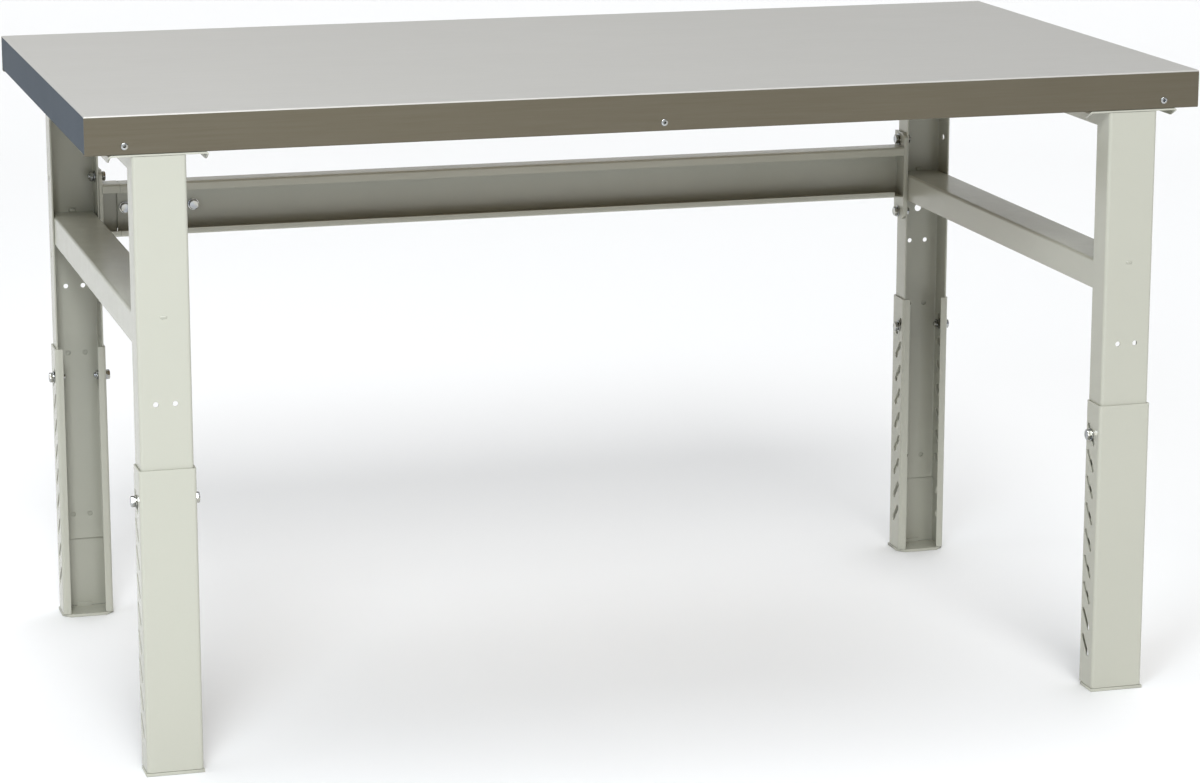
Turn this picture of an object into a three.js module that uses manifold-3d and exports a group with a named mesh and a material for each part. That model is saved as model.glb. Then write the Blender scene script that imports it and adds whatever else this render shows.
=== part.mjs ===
// Height-adjustable steel workbench: a steel-clad worktop on four telescopic channel legs.
// Millimetres, +Z up, +X to the right, front of the bench towards -Y.
// The origin is on the floor, under the centre of the worktop.

import * as THREE from 'three';
import { mergeVertices } from 'three/addons/utils/BufferGeometryUtils.js';
import Module from 'manifold-3d';

const wasm = await Module();
wasm.setup();

// Driving dimensions

const GAP = 0.3; // clearance between pieces that touch
const EMBED = 0.2; // how far the joined solids of one piece sink into each other
const OVERSHOOT = 1; // how far a cutter reaches past the face that it cuts

const TOP = { width: 1500, depth: 800, thickness: 50, height: 860 };
const SKIN = { wall: 1.5, lip: 14, bend: 3 };

const LEG = {
  x: 657, // centre of each leg, left and right of the middle
  wall: 2.3,
  bend: 4.5,
  lowerEnd: 108,
};
const SLEEVE = { width: 74, depth: 46, lip: 11.5, top: 405, face: 401.5 };
const FOOT = { width: 76, thickness: 4, reach: 3, chamfer: 12, tabWidth: 22, tabTop: 9, face: 402.5 };

const SLOT = {
  count: 9,
  innerCount: 7,
  pitch: 37.5,
  firstZ: 360,
  width: 9,
  rise: 20,
  run: 16,
  fromEdge: 18.6,
};
const WEB_HOLES = { radius: 3.5, spacing: 25, heights: [490, 390, 145.5] };
const CABLE_HOLE = { radius: 5.5, z: 541 };

const RAIL = { width: 63.6, height: 40, bottom: 560, wall: 2.3, bend: 4 };
const CROSS_RAIL = { width: 63.6, height: 23 };
const SUPPORT = {
  width: 126,
  flange: 11,
  length: 797,
  wall: 2.5,
  bend: 4,
  chamferRun: 16,
  chamferBelowWeb: 0.5,
};

const BEAM = { front: 356, depth: 36, bottom: 566, height: 78, topLip: 13, bottomLip: 9, wall: 2.3, bend: 4 };
const BEAM_TRIM = 14; // the bottom lip stops this far short of the right end plate
const END_PLATE = { thickness: 5, bottom: 531, top: 665, front: 357, back: 398, chamfer: 8 };
const END_PLATE_BOLTS = { y: 379, heights: [653.5, 541] };
const STUB_LENGTH = 25; // channel stub on the left bracket
const TONGUE = { thickness: 2.5, end: -455, bottom: 573, top: 637 };
const TONGUE_BOLTS = { z: 604, xs: [-581, -480] };

const M8 = {
  hole: 4.6,
  shank: 3.9,
  nutBore: 4.5,
  acrossFlats: 13,
  headHeight: 5.3,
  washer: 8.5,
  washerHeight: 1.6,
  nutHeight: 6.5,
  overhang: 2, // a bolt reaches this far past its nut
};
const SKIRT_SCREW = {
  radius: 2,
  hole: 2.8,
  head: 4.6,
  headHeight: 1.2,
  socket: 3.2,
  socketDepth: 0.6,
  length: 14,
  z: 821,
  xs: [-700, 0, 700],
};
const FIXING_SCREW = {
  radius: 2.4,
  hole: 3.2,
  head: 10,
  headHeight: 4,
  length: 28,
  clearance: 3,
  x: 46,
  y: 250,
};

const BEND_STEPS = 2;
const ROUND_SIDES = 12;
const SMALL_SIDES = 8;
const HEX_SIDES = 6;

// Sizes worked out from the driving dimensions

const topUnderside = TOP.height - TOP.thickness;
const legWidth = SLEEVE.width - 2 * (LEG.wall + GAP);
const legFace = SLEEVE.face - LEG.wall - GAP;
const sleeveEdge = SLEEVE.face - SLEEVE.depth;
const legEdge = sleeveEdge + LEG.wall + GAP;
const supportTop = topUnderside - GAP;
const legTop = supportTop - SUPPORT.wall - GAP;
const railReach = legFace - LEG.wall - GAP;
const beamBack = BEAM.front + BEAM.depth;
const beamTop = BEAM.bottom + BEAM.height;
const legInnerFlange = LEG.x - legWidth / 2;
const plateOuter = legInnerFlange - GAP;
const plateInner = plateOuter - END_PLATE.thickness;
const tongueFront = beamBack + GAP;
const tongueBack = tongueFront + TONGUE.thickness;
const stubEnd = -plateInner + STUB_LENGTH;

const coreWidth = TOP.width - 4 * (SKIN.wall + GAP);
const coreDepth = TOP.depth - 2 * (SKIN.wall + GAP);
const coreBottom = topUnderside + SKIN.wall + GAP;
const coreTop = TOP.height - SKIN.wall - GAP;

// Materials

const paint = new THREE.MeshStandardMaterial({ color: 0xcdccc0, roughness: 0.45, metalness: 0.1 });
const steelSkin = new THREE.MeshStandardMaterial({ color: 0xb9b4ac, roughness: 0.4, metalness: 0.7 });
const board = new THREE.MeshStandardMaterial({ color: 0xa88a5e, roughness: 0.85, metalness: 0.0 });
const zinc = new THREE.MeshStandardMaterial({ color: 0xc8ccd0, roughness: 0.3, metalness: 0.9 });

// Solids: joining and cutting

function toSolid(geometry) {
  const bare = geometry.index ? geometry.toNonIndexed() : geometry.clone();
  bare.deleteAttribute('normal');
  bare.deleteAttribute('uv');
  const merged = mergeVertices(bare, 1e-4);
  return new wasm.Manifold(new wasm.Mesh({
    numProp: 3,
    vertProperties: new Float32Array(merged.attributes.position.array),
    triVerts: new Uint32Array(merged.index.array),
  }));
}

function toGeometry(solid) {
  const mesh = solid.getMesh();
  const geometry = new THREE.BufferGeometry();
  geometry.setAttribute('position', new THREE.BufferAttribute(new Float32Array(mesh.vertProperties), 3));
  geometry.setIndex(new THREE.BufferAttribute(new Uint32Array(mesh.triVerts), 1));
  geometry.computeVertexNormals();
  return geometry;
}

function combine(base, joined, removed) {
  let solid = toSolid(base);
  for (const piece of joined) {
    solid = solid.add(toSolid(piece));
  }
  for (const piece of removed) {
    solid = solid.subtract(toSolid(piece));
  }
  return toGeometry(solid);
}

const cut = (base, removed) => combine(base, [], removed);
const join = (base, joined) => combine(base, joined, []);

// Basic geometry

function box(low, high) {
  const size = high.map((value, axis) => value - low[axis]);
  const middle = high.map((value, axis) => (value + low[axis]) / 2);
  return new THREE.BoxGeometry(...size).translate(...middle);
}

// A round or many-sided bar along one axis ('x', 'y' or 'z'), from one end to the other.
function bar(axis, radius, start, end, sides) {
  const geometry = new THREE.CylinderGeometry(radius, radius, Math.abs(end - start), sides);
  const middle = (start + end) / 2;
  if (axis === 'x') {
    return geometry.rotateZ(Math.PI / 2).translate(middle, 0, 0);
  }
  if (axis === 'z') {
    return geometry.rotateX(Math.PI / 2).translate(0, 0, middle);
  }
  return geometry.translate(0, middle, 0);
}

// Radius of the corners of a hexagon, from its width across flats.
const hexRadius = (acrossFlats) => acrossFlats / Math.sqrt(3);

function shapeOf(points) {
  return new THREE.Shape(points.map(([x, y]) => new THREE.Vector2(x, y)));
}

function extrude(shape, length) {
  return new THREE.ExtrudeGeometry(shape, { depth: length, bevelEnabled: false });
}

// Shape drawn in (Y, Z), extruded along X from start to end.
function extrudeX(shape, start, end) {
  const turn = new THREE.Matrix4().makeBasis(
    new THREE.Vector3(0, 1, 0),
    new THREE.Vector3(0, 0, 1),
    new THREE.Vector3(1, 0, 0),
  );
  return extrude(shape, end - start).applyMatrix4(turn).translate(start, 0, 0);
}

// Shape drawn in (X, Z), extruded along Y, centred on Y = 0.
function extrudeY(shape, length) {
  return extrude(shape, length).rotateX(Math.PI / 2).translate(0, length / 2, 0);
}

// Outline of a folded sheet. The path is the outside line with square corners, each turning left.
function foldedSheet(path, wall, bend) {
  const points = path.map(([x, y]) => new THREE.Vector2(x, y));
  const last = points.length - 1;
  const direction = (i) => points[i + 1].clone().sub(points[i]).normalize();
  const leftOf = (d) => new THREE.Vector2(-d.y, d.x);
  const outer = [points[0]];
  const inner = [points[0].clone().addScaledVector(leftOf(direction(0)), wall)];
  for (let i = 1; i < last; i += 1) {
    const before = direction(i - 1);
    const centre = points[i].clone().addScaledVector(before, -bend).addScaledVector(leftOf(before), bend);
    const startAngle = Math.atan2(-leftOf(before).y, -leftOf(before).x);
    for (let step = 0; step <= BEND_STEPS; step += 1) {
      const angle = startAngle + (Math.PI / 2) * (step / BEND_STEPS);
      outer.push(new THREE.Vector2(Math.cos(angle), Math.sin(angle)).multiplyScalar(bend).add(centre));
    }
    inner.push(points[i].clone().addScaledVector(before, -wall).addScaledVector(leftOf(before), wall));
  }
  outer.push(points[last]);
  inner.push(points[last].clone().addScaledVector(leftOf(direction(last - 1)), wall));
  return new THREE.Shape([...outer, ...inner.reverse()]);
}

// Path of a channel that opens towards smaller y, with lips where lip is more than 0.
function channelPath(width, open, back, lip) {
  const side = width / 2;
  const path = [[side, open], [side, back], [-side, back], [-side, open]];
  return lip > 0 ? [[side - lip, open], ...path, [-side + lip, open]] : path;
}

// Fasteners. Each is drawn along +X, with the head or nut outside x = 0.

function hexBolt(shankEnd) {
  const washer = bar('x', M8.washer, GAP, GAP + M8.washerHeight, ROUND_SIDES);
  const headStart = GAP + M8.washerHeight;
  const head = bar('x', hexRadius(M8.acrossFlats), headStart - EMBED, headStart + M8.headHeight, HEX_SIDES);
  const shank = bar('x', M8.shank, -shankEnd, GAP + EMBED, SMALL_SIDES);
  return join(washer, [head, shank]);
}

function hexNut() {
  const washer = bar('x', M8.washer, GAP, GAP + M8.washerHeight, ROUND_SIDES);
  const nutStart = GAP + M8.washerHeight - EMBED;
  const nutEnd = nutStart + M8.nutHeight;
  const nut = bar('x', hexRadius(M8.acrossFlats), nutStart, nutEnd, HEX_SIDES);
  return combine(washer, [nut], [bar('x', M8.nutBore, -OVERSHOOT, nutEnd + OVERSHOOT, SMALL_SIDES)]);
}

function skirtScrew() {
  const { radius, head, headHeight, socket, socketDepth, length } = SKIRT_SCREW;
  const rim = bar('x', head, GAP, headHeight, ROUND_SIDES);
  const shank = bar('x', radius, -length, GAP + EMBED, SMALL_SIDES);
  const recess = bar('x', hexRadius(socket), headHeight - socketDepth, headHeight + OVERSHOOT, HEX_SIDES);
  return combine(rim, [shank], [recess]);
}

function fixingScrew() {
  const head = bar('x', hexRadius(FIXING_SCREW.head), GAP, GAP + FIXING_SCREW.headHeight, HEX_SIDES);
  const shank = bar('x', FIXING_SCREW.radius, -FIXING_SCREW.length, GAP + EMBED, SMALL_SIDES);
  return join(head, [shank]);
}

// Worktop

function worktopCore() {
  const block = box([-coreWidth / 2, -coreDepth / 2, coreBottom], [coreWidth / 2, coreDepth / 2, coreTop]);
  const front = -TOP.depth / 2;
  const holes = [];
  for (const x of SKIRT_SCREW.xs) {
    const holeEnd = front + SKIRT_SCREW.length + OVERSHOOT;
    const hole = bar('y', SKIRT_SCREW.hole, front - OVERSHOOT, holeEnd, SMALL_SIDES);
    holes.push(hole.translate(x, 0, SKIRT_SCREW.z));
  }
  for (const [x, y] of fixingPlaces()) {
    const holeEnd = legTop + FIXING_SCREW.length + FIXING_SCREW.clearance;
    const hole = bar('z', FIXING_SCREW.hole, coreBottom - OVERSHOOT, holeEnd, SMALL_SIDES);
    holes.push(hole.translate(x, y, 0));
  }
  return cut(block, holes);
}

function worktopSkin() {
  const path = channelPath(TOP.depth, topUnderside, TOP.height, SKIN.lip);
  const shell = extrudeX(foldedSheet(path, SKIN.wall, SKIN.bend), -TOP.width / 2, TOP.width / 2);
  const front = -TOP.depth / 2;
  const holes = SKIRT_SCREW.xs.map((x) => {
    const hole = bar('y', SKIRT_SCREW.hole, front - OVERSHOOT, front + SKIN.wall + OVERSHOOT, SMALL_SIDES);
    return hole.translate(x, 0, SKIRT_SCREW.z);
  });
  return cut(shell, holes);
}

function endCap() {
  const side = coreDepth / 2;
  return box([-SKIN.wall / 2, -side, coreBottom], [SKIN.wall / 2, side, coreTop]);
}

// Legs, drawn for the back: web towards +Y, open side towards the middle of the bench

function slotCutter(z, slant, reach) {
  const half = SLOT.width / 2;
  const along = new THREE.Vector2(-slant * SLOT.run, SLOT.rise).normalize();
  const across = new THREE.Vector2(-along.y, along.x);
  const ends = Math.hypot(SLOT.run, SLOT.rise) / 2;
  const centre = new THREE.Vector2(sleeveEdge + SLOT.fromEdge, z);
  const place = (a, b) => centre.clone().addScaledVector(along, a).addScaledVector(across, b);
  const shape = new THREE.Shape([
    place(-ends, -half),
    place(-ends - half, 0),
    place(-ends, half),
    place(ends, half),
    place(ends + half, 0),
    place(ends, -half),
  ]);
  return extrudeX(shape, -reach, reach);
}

function slotRow(count, slant) {
  return Array.from({ length: count }, (_, i) => slotCutter(SLOT.firstZ - i * SLOT.pitch, slant, SLEEVE.width));
}

function webHole(x, z, radius) {
  const start = legFace - LEG.wall - OVERSHOOT;
  return bar('y', radius, start, legFace + OVERSHOOT, SMALL_SIDES).translate(x, 0, z);
}

function upperLeg(isBack) {
  const profile = foldedSheet(channelPath(legWidth, legEdge, legFace, 0), LEG.wall, LEG.bend);
  const channel = extrude(profile, legTop - LEG.lowerEnd).translate(0, 0, LEG.lowerEnd);
  const holes = slotRow(SLOT.innerCount, -1);
  for (const z of WEB_HOLES.heights) {
    holes.push(webHole(-WEB_HOLES.spacing / 2, z, WEB_HOLES.radius));
    holes.push(webHole(WEB_HOLES.spacing / 2, z, WEB_HOLES.radius));
  }
  if (isBack) {
    holes.push(webHole(0, CABLE_HOLE.z, CABLE_HOLE.radius));
    for (const z of END_PLATE_BOLTS.heights) {
      const hole = bar('x', M8.hole, -SLEEVE.width, SLEEVE.width, SMALL_SIDES);
      holes.push(hole.translate(0, END_PLATE_BOLTS.y, z));
    }
  }
  return cut(channel, holes);
}

function legExtension() {
  const bottom = FOOT.thickness + GAP;
  const path = channelPath(SLEEVE.width, sleeveEdge, SLEEVE.face, SLEEVE.lip);
  const profile = foldedSheet(path, LEG.wall, LEG.bend);
  const channel = extrude(profile, SLEEVE.top - bottom).translate(0, 0, bottom);
  return cut(channel, slotRow(SLOT.count, 1));
}

function footPlate() {
  const side = FOOT.width / 2;
  const open = sleeveEdge - FOOT.reach;
  const plate = extrude(shapeOf([
    [side, open + FOOT.chamfer],
    [side, FOOT.face],
    [-side, FOOT.face],
    [-side, open + FOOT.chamfer],
    [-side + FOOT.chamfer, open],
    [side - FOOT.chamfer, open],
  ]), FOOT.thickness);
  const tabBack = SLEEVE.face - LEG.wall - GAP;
  const tab = box(
    [-FOOT.tabWidth / 2, tabBack - LEG.wall, FOOT.thickness - EMBED],
    [FOOT.tabWidth / 2, tabBack, FOOT.tabTop],
  );
  return join(plate, [tab]);
}

// Rails and supports

function sideRail() {
  const path = channelPath(RAIL.width, RAIL.bottom, RAIL.bottom + RAIL.height, 0);
  return extrudeY(foldedSheet(path, RAIL.wall, RAIL.bend), 2 * railReach);
}

function crossRail() {
  const path = channelPath(CROSS_RAIL.width, legTop - CROSS_RAIL.height, legTop, 0);
  return extrudeY(foldedSheet(path, RAIL.wall, RAIL.bend), 2 * railReach);
}

function worktopSupport() {
  const bottom = supportTop - SUPPORT.flange;
  const path = channelPath(SUPPORT.width, bottom, supportTop, 0);
  const channel = extrudeY(foldedSheet(path, SUPPORT.wall, SUPPORT.bend), SUPPORT.length);
  const end = SUPPORT.length / 2;
  const webUnderside = supportTop - SUPPORT.wall;
  const chamferTop = webUnderside - SUPPORT.chamferBelowWeb;
  const removed = [-1, 1].map((way) => {
    const corner = shapeOf([
      [way * (end + OVERSHOOT), bottom - OVERSHOOT],
      [way * (end + OVERSHOOT), chamferTop],
      [way * end, chamferTop],
      [way * (end - SUPPORT.chamferRun), bottom],
      [way * (end - SUPPORT.chamferRun), bottom - OVERSHOOT],
    ]);
    return extrudeX(corner, -SUPPORT.width, SUPPORT.width);
  });
  for (const way of [-1, 1]) {
    for (const y of [-FIXING_SCREW.y, FIXING_SCREW.y]) {
      const hole = bar('z', FIXING_SCREW.hole, webUnderside - OVERSHOOT, supportTop + OVERSHOOT, SMALL_SIDES);
      removed.push(hole.translate(way * FIXING_SCREW.x, y, 0));
    }
  }
  return cut(channel, removed);
}

function fixingPlaces() {
  const x = LEG.x - FIXING_SCREW.x;
  return [[-x, -FIXING_SCREW.y], [x, -FIXING_SCREW.y], [-x, FIXING_SCREW.y], [x, FIXING_SCREW.y]];
}

// Rear beam with its end fittings

function beamPath(back) {
  return [
    [BEAM.front, BEAM.bottom + BEAM.bottomLip],
    [BEAM.front, BEAM.bottom],
    [back, BEAM.bottom],
    [back, beamTop],
    [BEAM.front, beamTop],
    [BEAM.front, beamTop - BEAM.topLip],
  ];
}

function tongueBoltHoles(front, back) {
  return TONGUE_BOLTS.xs.map((x) => (
    bar('y', M8.hole, front - OVERSHOOT, back + OVERSHOOT, SMALL_SIDES).translate(x, 0, TONGUE_BOLTS.z)
  ));
}

function rearBeam() {
  const right = plateInner - GAP;
  const channel = extrudeX(foldedSheet(beamPath(beamBack), BEAM.wall, BEAM.bend), stubEnd + GAP, right);
  const trimmedLip = box(
    [right - BEAM_TRIM, BEAM.front - OVERSHOOT, BEAM.bottom - OVERSHOOT],
    [right + OVERSHOOT, BEAM.front + BEAM.bend, BEAM.bottom + BEAM.bottomLip + OVERSHOOT],
  );
  return cut(channel, [trimmedLip, ...tongueBoltHoles(beamBack - BEAM.wall, beamBack)]);
}

function endPlate(inner, outer) {
  const { front, back, bottom, top, chamfer } = END_PLATE;
  return extrudeX(shapeOf([
    [front, bottom + chamfer],
    [front + chamfer, bottom],
    [back, bottom],
    [back, top],
    [front + chamfer, top],
    [front, top - chamfer],
  ]), Math.min(inner, outer), Math.max(inner, outer));
}

function endPlateHoles() {
  return END_PLATE_BOLTS.heights.map((z) => (
    bar('x', M8.hole, -TOP.width / 2, TOP.width / 2, SMALL_SIDES).translate(0, END_PLATE_BOLTS.y, z)
  ));
}

function rightEndPlate() {
  return cut(endPlate(plateInner, plateOuter), endPlateHoles());
}

function leftBracket() {
  const plate = endPlate(-plateInner, -plateOuter);
  const stub = extrudeX(foldedSheet(beamPath(tongueBack), BEAM.wall, BEAM.bend), -plateInner - EMBED, stubEnd);
  const tongue = box([-plateInner, tongueFront, TONGUE.bottom], [TONGUE.end, tongueBack, TONGUE.top]);
  const holes = [...endPlateHoles(), ...tongueBoltHoles(tongueFront, tongueBack)];
  return combine(plate, [stub, tongue], holes);
}

// Assembly

const bench = new THREE.Group();
bench.name = 'workbench';

function addPart(name, geometry, material, position = [0, 0, 0], turn = 0) {
  const mesh = new THREE.Mesh(geometry, material);
  mesh.name = name;
  mesh.position.set(...position);
  mesh.rotation.z = turn;
  bench.add(mesh);
  return mesh;
}

addPart('worktop_core', worktopCore(), board);
addPart('worktop_skin', worktopSkin(), steelSkin);
for (const [side, way] of [['left', -1], ['right', 1]]) {
  const x = way * (TOP.width / 2 - SKIN.wall / 2 - GAP);
  addPart(`worktop_end_cap_${side}`, endCap(), steelSkin, [x, 0, 0]);
}
SKIRT_SCREW.xs.forEach((x, i) => {
  const name = `skirt_screw_${['left', 'middle', 'right'][i]}`;
  addPart(name, skirtScrew(), zinc, [x, -TOP.depth / 2, SKIRT_SCREW.z], -Math.PI / 2);
});

const clampY = sleeveEdge + SLOT.fromEdge;
for (const [side, sideWay] of [['left', -1], ['right', 1]]) {
  const x = sideWay * LEG.x;
  for (const [end, turn] of [['front', Math.PI], ['back', 0]]) {
    const corner = `${end}_${side}`;
    const endWay = end === 'back' ? 1 : -1;
    addPart(`upper_leg_${corner}`, upperLeg(end === 'back'), paint, [x, 0, 0], turn);
    addPart(`leg_extension_${corner}`, legExtension(), paint, [x, 0, 0], turn);
    addPart(`foot_plate_${corner}`, footPlate(), paint, [x, 0, 0], turn);
    for (const [face, faceWay] of [['outer', sideWay], ['inner', -sideWay]]) {
      const boltX = x + faceWay * (SLEEVE.width / 2);
      const nutX = x + faceWay * (legWidth / 2 - LEG.wall);
      const boltTurn = faceWay > 0 ? 0 : Math.PI;
      const y = endWay * clampY;
      addPart(`clamp_bolt_${corner}_${face}`, hexBolt(LEG.wall - GAP), zinc, [boltX, y, SLOT.firstZ], boltTurn);
      addPart(`clamp_nut_${corner}_${face}`, hexNut(), zinc, [nutX, y, SLOT.firstZ], boltTurn + Math.PI);
    }
  }
  addPart(`side_rail_${side}`, sideRail(), paint, [x, 0, 0]);
  addPart(`top_cross_rail_${side}`, crossRail(), paint, [x, 0, 0]);
  addPart(`worktop_support_${side}`, worktopSupport(), paint, [x, 0, 0]);
}

fixingPlaces().forEach(([x, y], i) => {
  const screw = fixingScrew().rotateY(Math.PI / 2);
  addPart(`fixing_screw_${i + 1}`, screw, zinc, [x, y, supportTop - SUPPORT.wall]);
});

addPart('rear_beam', rearBeam(), paint);
addPart('beam_end_plate_right', rightEndPlate(), paint);
addPart('beam_bracket_left', leftBracket(), paint);
for (const [side, way] of [['left', -1], ['right', 1]]) {
  END_PLATE_BOLTS.heights.forEach((z, i) => {
    const level = ['upper', 'lower'][i];
    const shank = END_PLATE.thickness + GAP + LEG.wall + M8.washerHeight + M8.nutHeight + M8.overhang;
    const headTurn = way > 0 ? Math.PI : 0;
    const nutX = way * (legInnerFlange + LEG.wall);
    const y = END_PLATE_BOLTS.y;
    addPart(`beam_bolt_${side}_${level}`, hexBolt(shank), zinc, [way * plateInner, y, z], headTurn);
    addPart(`beam_nut_${side}_${level}`, hexNut(), zinc, [nutX, y, z], headTurn + Math.PI);
  });
}
TONGUE_BOLTS.xs.forEach((x, i) => {
  const bolt = hexBolt(BEAM.wall + GAP + TONGUE.thickness + M8.overhang);
  addPart(`tongue_bolt_${i + 1}`, bolt, zinc, [x, beamBack - BEAM.wall, TONGUE_BOLTS.z], -Math.PI / 2);
});

export default bench;
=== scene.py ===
"""Looks of the height-adjustable steel workbench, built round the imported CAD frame."""

import math
import random

import bmesh
import bpy
from mathutils import Matrix, Vector


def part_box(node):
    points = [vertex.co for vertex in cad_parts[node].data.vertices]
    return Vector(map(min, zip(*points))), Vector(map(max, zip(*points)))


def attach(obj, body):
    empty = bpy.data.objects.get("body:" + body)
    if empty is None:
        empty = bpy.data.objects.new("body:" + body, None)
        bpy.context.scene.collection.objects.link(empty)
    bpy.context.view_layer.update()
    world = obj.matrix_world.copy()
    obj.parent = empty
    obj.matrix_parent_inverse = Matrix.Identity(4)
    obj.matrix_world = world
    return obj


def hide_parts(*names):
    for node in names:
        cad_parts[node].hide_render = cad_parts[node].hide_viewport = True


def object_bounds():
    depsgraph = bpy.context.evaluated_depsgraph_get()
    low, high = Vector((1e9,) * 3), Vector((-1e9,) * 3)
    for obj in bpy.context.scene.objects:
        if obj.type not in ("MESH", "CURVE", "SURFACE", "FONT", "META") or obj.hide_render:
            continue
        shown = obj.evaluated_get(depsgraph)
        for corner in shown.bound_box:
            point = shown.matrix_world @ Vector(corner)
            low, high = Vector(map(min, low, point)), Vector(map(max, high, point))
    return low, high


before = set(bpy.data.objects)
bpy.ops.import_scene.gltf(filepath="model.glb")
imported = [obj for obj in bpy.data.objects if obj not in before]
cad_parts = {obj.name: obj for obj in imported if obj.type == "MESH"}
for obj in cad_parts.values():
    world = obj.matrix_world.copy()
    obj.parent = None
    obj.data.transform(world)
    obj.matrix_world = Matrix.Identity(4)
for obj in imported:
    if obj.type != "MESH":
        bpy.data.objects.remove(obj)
cad_low, cad_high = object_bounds()

# Driving dimensions, in metres. They follow the CAD part's, except that the skin's bends are a little tighter
MM = 0.001
GAP = 0.3 * MM
SLEEVE_WALL = 2.3 * MM
SLEEVE_LIP = 11.5 * MM
LEG_BEND = 4.5 * MM
SLOT_COUNT, INNER_SLOT_COUNT = 9, 7
SLOT_PITCH, SLOT_FIRST_Z = 37.5 * MM, 360 * MM
SLOT_WIDTH, SLOT_RISE, SLOT_RUN, SLOT_FROM_EDGE = 9 * MM, 20 * MM, 16 * MM, 18.6 * MM
WEB_HOLE_RADIUS, WEB_HOLE_SPACING = 3.5 * MM, 25 * MM
WEB_HOLE_HEIGHTS = (490 * MM, 390 * MM, 145.5 * MM)
CABLE_HOLE_RADIUS, CABLE_HOLE_Z = 5.5 * MM, 541 * MM
RAIL_BEND = 4 * MM
SUPPORT_WALL, SUPPORT_CHAMFER, SUPPORT_CHAMFER_BELOW_WEB = 2.5 * MM, 16 * MM, 0.5 * MM
SKIN_WALL, SKIN_LIP, SKIN_BEND = 1.5 * MM, 14 * MM, 2.4 * MM
TOP_AND_HIGHLIGHT_DEPTH = 0.75 * SKIN_BEND  # the skin takes the top's lighter steel down to here, which paints a highlight on the upper part of the fold, and the skirt's darker steel, painted shade and reflection, below
BEAM_TOP_LIP, BEAM_BOTTOM_LIP = 13 * MM, 9 * MM
BEAM_TRIM, BEAM_TRIM_CHAMFER = 14 * MM, 1 * MM
PLATE_CHAMFER = 8 * MM
PLATE_BOLT_Y, PLATE_BOLT_HEIGHTS = 379 * MM, (653.5 * MM, 541 * MM)
STUB_LENGTH = 25 * MM
TONGUE_THICKNESS, TONGUE_BOTTOM, TONGUE_TOP, TONGUE_OVERLAP = 2.5 * MM, 573 * MM, 637 * MM, 1 * MM
TONGUE_BOLT_Z, TONGUE_BOLT_XS, TONGUE_HOLE_MARGIN = 604 * MM, (-581 * MM, -480 * MM), 10 * MM
FOOT_CHAMFER, FOOT_THICKNESS, FOOT_OVERHANG = 12 * MM, 4 * MM, 1 * MM
FOOT_TAB_HALF_WIDTH, FOOT_TAB_BOTTOM = 11 * MM, 2.8 * MM

# M8 bolts, nuts and washers
M8_HOLE = 4.6 * MM
ACROSS_FLATS, HEAD_HEIGHT, NUT_HEIGHT = 13 * MM, 5.3 * MM, 6.3 * MM
WASHER_RADIUS, WASHER_HEIGHT, WASHER_EDGE, WASHER_PLAY = 8.5 * MM, 1.6 * MM, 0.25 * MM, 0.3 * MM
THREAD_RADIUS, THREAD_PITCH, THREAD_DEPTH, THREAD_TIP = 4 * MM, 1.25 * MM, 0.4 * MM, 0.9 * MM
BOLT_REACH = GAP + WASHER_HEIGHT + HEAD_HEIGHT
NUT_REACH = GAP + WASHER_HEIGHT + NUT_HEIGHT
CLAMP_BOLT_DEPTH, BEAM_BOLT_DEPTH = SLEEVE_WALL - GAP, 8 * MM
CLAMP_BOLT_END, BEAM_BOLT_END = 3 * MM, 2 * MM
CHAMFER_SLOPE = math.tan(math.radians(30))

# Skirt screws (button heads) and the screws that hold the supports to the board
SKIRT_HOLE, SKIRT_HEAD, SKIRT_DOME, SKIRT_SHANK, SKIRT_DEPTH = 2.8 * MM, 1.2 * MM, 0.9 * MM, 1.9 * MM, 12 * MM
SOCKET_FLATS, SOCKET_TOP, SOCKET_FLOOR, SOCKET_POINT = 3.5 * MM, 1.15 * MM, -2.2 * MM, -2.8 * MM
FIXING_SCREW_COUNT, FIXING_HOLE, FIXING_SHANK, FIXING_DEPTH = 4, 3.2 * MM, 2.2 * MM, 26 * MM
FIXING_FLANGE, FIXING_FLANGE_TOP, FIXING_FLATS, FIXING_HEAD = 5.7 * MM, 1.2 * MM, 10 * MM, 4.3 * MM

# Weld beads
BEAD_SIDES, BEAD_STEP, BEAD_MIN_STEPS = 10, 0.8 * MM, 8
BEAM_BEAD, BEAM_BEAD_INSET, BEAM_BEAD_LIP_INSET, WEB_BEAD_INSET = 1.6 * MM, 4 * MM, 6 * MM, 8 * MM
RAIL_BEAD, RAIL_BEAD_HALF_LENGTH, RAIL_BEAD_LIFT = 3.6 * MM, 5 * MM, 2 * MM

# Fineness of the visible meshes
BEND_STEPS = 6
FOLD_SNAP, TOUCHING = 1e-6, 1e-9
RIM_ROUND = 0.35 * MM
RIM_CORNER = (0.62, 0.22)  # a point of the rounded rim: shares of RIM_ROUND outward and down
HOLE_SIDES = 28
SLOT_END_STEPS = 10
HEX_SAMPLES = 72
DOME_STEPS = 6

# Camera, at the photograph's viewing angle
CAMERA_PLACE = (-1.3993, -4.9564, 1.5578)
CAMERA_TURN_DEG, CAMERA_DIP_DEG = -16.069, -12.913
CAMERA_LENS_MM, CAMERA_SENSOR_MM, CAMERA_REACH = 111.88, 36, 60

# Floor: a flat disc, and an edge that curves up round it
FLOOR_RADII, FLOOR_BEND, FLOOR_ARC_DEG, FLOOR_STEPS, FLOOR_SIDES = (1.5, 3.0, 4.5), 14.0, 35, 16, 96
FLOOR_DROP = 0.0002

# Light
WORLD_COLOUR, WORLD_STRENGTH = (0.97, 0.985, 1.0, 1), 0.36
# Suns: name, the way from the bench to the sun, strength, spread in degrees, colour
SUNS = (
    ("key", (-0.12, -1.0, 0.90), 1.30, 26, (1.0, 0.998, 0.995)),
    ("overhead", (0.3, 0.3, 1.0), 0.98, 60, (0.98, 0.99, 1.0)),
    ("left_low", (-1.0, -0.12, 0.35), 0.34, 40, (0.95, 0.975, 1.0)),
)
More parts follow.
